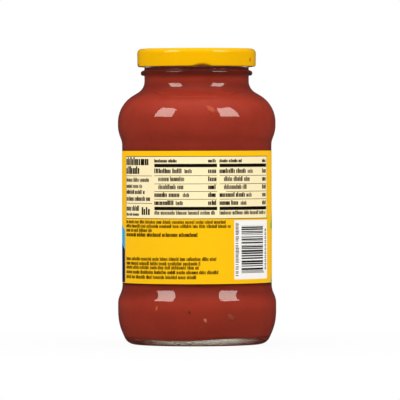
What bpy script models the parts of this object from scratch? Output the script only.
"""A shut glass jar of tomato sauce, as it stands on a shelf.

Four pieces: the turned glass jar with its twist-off finish, the sauce that fills it, the
pressed metal lid with its four lugs, and the paper label that wraps the straight panel.

The jar's axis is Z and it stands on z = 0. The middle of the label's back faces -Y.
An outline is a list of corners (radius, height, fillet), and an arc rounds each corner.
"""

import math

import bmesh
import bpy
from mathutils import Matrix, Vector

MM = 0.001

# Overall sizes
HEIGHT = 164.4 * MM
LOWER_BULGE_RADIUS = 44.05 * MM
SHOULDER_RADIUS = 43.9 * MM
PANEL_RADIUS = 41.3 * MM
NECK_RADIUS = 29.05 * MM

# Base of the jar
RING_INNER_RADIUS = 30.5 * MM
HEEL_RADIUS = 38.8 * MM
PUSH_UP = 2.2 * MM
PUSH_UP_EDGE = 1.4 * MM
PUSH_UP_RADIUS = 28.5 * MM
FLOOR_CENTRE = 5.6 * MM

# Heights where the body's straight stretches would meet
BULGE_BOTTOM = 11.9 * MM
BULGE_TOP = 24.95 * MM
PANEL_BOTTOM = 30.9 * MM
PANEL_TOP = 112.6 * MM
SHOULDER_BOTTOM = 119.5 * MM
SHOULDER_TOP = 132.6 * MM
NECK_ROOT = 142.2 * MM

# Glass thickness under the sauce, at the heel, along the walls and up the shoulder
BASE_WALL = 3.6 * MM
HEEL_WALL = 3.0 * MM
SIDE_WALL = 2.4 * MM
SHOULDER_WALL = 2.6 * MM

# Ring below the lid, and the rim that the lid seals on
BEAD_RADIUS = 31.05 * MM
BEAD_BOTTOM = 149.45 * MM
BEAD_TOP = 151.75 * MM
BEAD_SLOPE_TOP = 152.6 * MM
BEAD_NOSE = 1.1 * MM
RIM_TOP = 163.6 * MM
RIM_ROUND = 0.9 * MM

# Four thread ramps on the glass, and the four lugs of the lid that hook under them
STARTS = 4
THREAD_SECTION = 0.95 * MM
THREAD_PATH_RADIUS = 29.75 * MM
THREAD_LOW = 157.3 * MM
THREAD_RISE = 1.9 * MM
THREAD_SWEEP = math.radians(58)
LUG_SECTION = 0.72 * MM
LUG_PATH_RADIUS = 31.0 * MM
LUG_SWEEP = math.radians(22)
LUG_AZIMUTH = math.radians(-84.5)

# Lid
LID_RADIUS = 33.03 * MM
LID_FOOT_RADIUS = 32.75 * MM
LID_BOTTOM = 154.0 * MM
LID_CORNER = 2.8 * MM
LID_FOOT_ROUND = 0.8 * MM
LID_WALL = 0.5 * MM
PANEL_RECESS = 0.9 * MM
RECESS_RADIUS = 24.3 * MM
RECESS_RAMP = 1.3 * MM
BUTTON_RECESS = 0.5 * MM
BUTTON_RADIUS = 10.5 * MM
BUTTON_RAMP = 1.5 * MM
CURL_WIDTH = 1.2 * MM
CURL_HEIGHT = 1.5 * MM

# Sauce and label
GAP = 0.3 * MM
SAUCE_LEVEL = 154.0 * MM
LABEL_BOTTOM = 34.5 * MM
LABEL_TOP = 107.6 * MM
LABEL_PAPER = 0.2 * MM

# Fineness of the faceted solids
SEGMENTS = 44
CHORD_ERROR = 0.15 * MM
BAR_STEP = math.radians(7)
MERGE = 0.01 * MM


def clear_scene():
    for obj in list(bpy.data.objects):
        bpy.data.objects.remove(obj)


def new_collection(name):
    collection = bpy.data.collections.new(name)
    bpy.context.scene.collection.children.link(collection)
    return collection


def material(name, colour, roughness, metallic=0.0, transmission=0.0):
    made = bpy.data.materials.new(name)
    made.use_nodes = True
    shader = made.node_tree.nodes["Principled BSDF"]
    shader.inputs["Base Color"].default_value = (*colour, 1.0)
    shader.inputs["Roughness"].default_value = roughness
    shader.inputs["Metallic"].default_value = metallic
    shader.inputs["Transmission Weight"].default_value = transmission
    return made


def cross(a, b):
    return a.x * b.y - a.y * b.x


def directions(corners):
    points = [Vector(corner[:2]) for corner in corners]
    return [(b - a).normalized() for a, b in zip(points, points[1:])]


def rounded(corners):
    """The points of an outline, with an arc of the corner's fillet at each inner corner."""
    ways = directions(corners)
    points = [Vector(corners[0][:2])]
    for (radius, height, fillet), before, after in zip(corners[1:-1], ways, ways[1:]):
        corner = Vector((radius, height))
        turn = math.atan2(cross(before, after), before.dot(after))
        if fillet <= 0 or abs(turn) < 1e-6:
            points.append(corner)
            continue
        start = corner - before * fillet * math.tan(abs(turn) / 2)
        side = Vector((-before.y, before.x)) * math.copysign(fillet, turn)
        step = 2 * math.acos(1 - min(CHORD_ERROR / fillet, 0.5))
        count = math.ceil(abs(turn) / step)
        for k in range(count + 1):
            spoke = Matrix.Rotation(turn * k / count, 2) @ -side
            points.append(start + side + spoke)
    points.append(Vector(corners[-1][:2]))
    return points


def inset(corners, walls):
    """The corners moved to the left of the way the outline runs, each stretch by its own wall."""
    ways = directions(corners)
    starts = [
        Vector(corner[:2]) + Vector((-way.y, way.x)) * wall
        for corner, way, wall in zip(corners, ways, walls)
    ]
    moved = [(*starts[0], 0.0)]
    for i in range(1, len(ways)):
        turn = cross(ways[i - 1], ways[i])
        along = cross(starts[i] - starts[i - 1], ways[i]) / turn
        meeting = starts[i - 1] + ways[i - 1] * along
        wall = (walls[i - 1] + walls[i]) / 2
        fillet = corners[i][2] - math.copysign(wall, turn)
        moved.append((*meeting, max(fillet, 0.0)))
    return moved


def body_corners():
    """The outside of the glass from under the heel to the foot of the bead."""
    return [
        (RING_INNER_RADIUS, 0.0, 0.6 * MM),
        (HEEL_RADIUS, 0.0, 6.3 * MM),
        (LOWER_BULGE_RADIUS, BULGE_BOTTOM, 29.0 * MM),
        (LOWER_BULGE_RADIUS, BULGE_TOP, 10.7 * MM),
        (PANEL_RADIUS, PANEL_BOTTOM, 12.0 * MM),
        (PANEL_RADIUS, PANEL_TOP, 10.0 * MM),
        (SHOULDER_RADIUS, SHOULDER_BOTTOM, 15.0 * MM),
        (SHOULDER_RADIUS, SHOULDER_TOP, 17.0 * MM),
        (NECK_RADIUS, NECK_ROOT, 7.4 * MM),
        (NECK_RADIUS, BEAD_BOTTOM, 0.5 * MM),
    ]


def finish_corners():
    """The outside of the glass from the bead to the rim."""
    return [
        (BEAD_RADIUS, BEAD_BOTTOM, BEAD_NOSE),
        (BEAD_RADIUS, BEAD_TOP, BEAD_NOSE),
        (NECK_RADIUS, BEAD_SLOPE_TOP, 0.6 * MM),
        (NECK_RADIUS, RIM_TOP, RIM_ROUND),
    ]


def cavity_corners(clearance):
    """The inside of the glass from the middle of its floor to the neck, less a clearance."""
    walls = [BASE_WALL, HEEL_WALL] + [SIDE_WALL] * 5 + [SHOULDER_WALL, SIDE_WALL]
    inner = inset(body_corners(), [wall + clearance for wall in walls])
    return [(0.0, FLOOR_CENTRE + clearance, 0.0)] + inner[1:]


def glass_outline():
    inside = cavity_corners(0.0)
    lip = (inside[-1][0], RIM_TOP, RIM_ROUND)
    outside = body_corners() + finish_corners()
    under = [(PUSH_UP_RADIUS, PUSH_UP_EDGE, 3.0 * MM), (0.0, PUSH_UP, 0.0)]
    return rounded(inside + [lip] + outside[::-1] + under)


def sauce_outline():
    inside = cavity_corners(GAP)
    surface = [(inside[-1][0], SAUCE_LEVEL, 0.0), (0.0, SAUCE_LEVEL, 0.0)]
    return rounded(inside + surface)[::-1]


def lid_outline():
    """A pressed disc with a sunk panel and a button, whose skirt ends in a curled edge."""
    panel = HEIGHT - PANEL_RECESS
    button = panel - BUTTON_RECESS
    top = [
        (0.0, button, 0.0),
        (BUTTON_RADIUS, button, 2.0 * MM),
        (BUTTON_RADIUS + BUTTON_RAMP, panel, 2.0 * MM),
        (RECESS_RADIUS, panel, 1.2 * MM),
        (RECESS_RADIUS + RECESS_RAMP, HEIGHT, 0.9 * MM),
        (LID_RADIUS, HEIGHT, LID_CORNER),
        (LID_FOOT_RADIUS, LID_BOTTOM, LID_FOOT_ROUND),
    ]
    under = inset(top, [-LID_WALL] * (len(top) - 1))
    skirt_inside = LID_FOOT_RADIUS - LID_WALL
    curl_inside = LID_FOOT_RADIUS - CURL_WIDTH
    curl_top = LID_BOTTOM + CURL_HEIGHT
    curl = [
        (curl_inside, LID_BOTTOM, 0.3 * MM),
        (curl_inside, curl_top, 0.3 * MM),
        (skirt_inside, curl_top, 0.0),
    ]
    return rounded(top + curl + under[::-1])[::-1]


def label_outline():
    inner = PANEL_RADIUS + GAP
    outer = inner + LABEL_PAPER
    return [
        Vector((inner, LABEL_BOTTOM)),
        Vector((inner, LABEL_TOP)),
        Vector((outer, LABEL_TOP)),
        Vector((outer, LABEL_BOTTOM)),
    ]


def turned(name, outline, collection, surface, closed=False):
    """A solid of revolution, whose outline runs down its outer side."""
    mesh = bpy.data.meshes.new(name)
    edges = [(i, i + 1) for i in range(len(outline) - 1)]
    if closed:
        edges.append((len(outline) - 1, 0))
    mesh.from_pydata([(p.x, 0.0, p.y) for p in outline], edges, [])
    mesh.materials.append(surface)
    obj = bpy.data.objects.new(name, mesh)
    collection.objects.link(obj)
    screw = obj.modifiers.new("Turn", "SCREW")
    screw.axis = "Z"
    screw.angle = math.tau
    screw.steps = SEGMENTS
    screw.render_steps = SEGMENTS
    screw.use_merge_vertices = True
    screw.merge_threshold = MERGE
    return obj


def curved_bar(name, collection, section, path_radius, middle, sweep, low, rise=0.0):
    """A closed bar bent round the jar's axis, which climbs along its length."""
    data = bpy.data.curves.new(name, "CURVE")
    data.dimensions = "3D"
    data.bevel_depth = section
    data.bevel_resolution = 1
    data.use_fill_caps = True
    spline = data.splines.new("POLY")
    count = round(sweep / BAR_STEP)
    spline.points.add(count)
    for k, point in enumerate(spline.points):
        angle = middle + sweep * (k / count - 0.5)
        height = low + rise * k / count
        point.co = (path_radius * math.cos(angle), path_radius * math.sin(angle), height, 1.0)
    curve = bpy.data.objects.new(name, data)
    collection.objects.link(curve)
    graph = bpy.context.evaluated_depsgraph_get()
    mesh = bpy.data.meshes.new_from_object(curve.evaluated_get(graph))
    bar = bpy.data.objects.new(name, mesh)
    bar.matrix_world = curve.matrix_world
    bpy.data.objects.remove(curve)
    work = bmesh.new()
    work.from_mesh(mesh)
    bmesh.ops.remove_doubles(work, verts=work.verts, dist=MERGE)
    work.to_mesh(mesh)
    work.free()
    bar.hide_render = True
    bar.display_type = "WIRE"
    collection.objects.link(bar)


def fuse(obj, collection):
    """Joins every bar of a helper collection to an object."""
    union = obj.modifiers.new("Fuse", "BOOLEAN")
    union.operation = "UNION"
    union.operand_type = "COLLECTION"
    union.collection = collection
    union.solver = "EXACT"


def add_glass(parts):
    clear = material("clear_glass", (0.86, 0.9, 0.87), 0.03, transmission=1.0)
    jar = turned("glass_jar", glass_outline(), parts, clear)
    ramps = new_collection("thread_ramps")
    for k in range(STARTS):
        middle = LUG_AZIMUTH + math.tau * (k + 0.25) / STARTS
        curved_bar(
            f"ramp_{k}",
            ramps,
            THREAD_SECTION,
            THREAD_PATH_RADIUS,
            middle,
            THREAD_SWEEP,
            THREAD_LOW,
            THREAD_RISE,
        )
    fuse(jar, ramps)


def add_sauce(parts):
    red = material("tomato_sauce", (0.32, 0.035, 0.02), 0.35)
    turned("sauce", sauce_outline(), parts, red)


def add_lid(parts):
    yellow = material("lid_lacquer", (0.87, 0.47, 0.005), 0.25, metallic=0.2)
    lid = turned("lid", lid_outline(), parts, yellow)
    lugs = new_collection("lid_lugs")
    height = LID_BOTTOM + CURL_HEIGHT / 2
    for k in range(STARTS):
        middle = LUG_AZIMUTH + math.tau * k / STARTS
        curved_bar(f"lug_{k}", lugs, LUG_SECTION, LUG_PATH_RADIUS, middle, LUG_SWEEP, height)
    fuse(lid, lugs)


def add_label(parts):
    paper = material("label_paper", (1.0, 0.55, 0.004), 0.4)
    turned("label", label_outline(), parts, paper, closed=True)


def main():
    clear_scene()
    parts = new_collection("tomato_sauce_jar")
    add_glass(parts)
    add_sauce(parts)
    add_lid(parts)
    add_label(parts)


main()
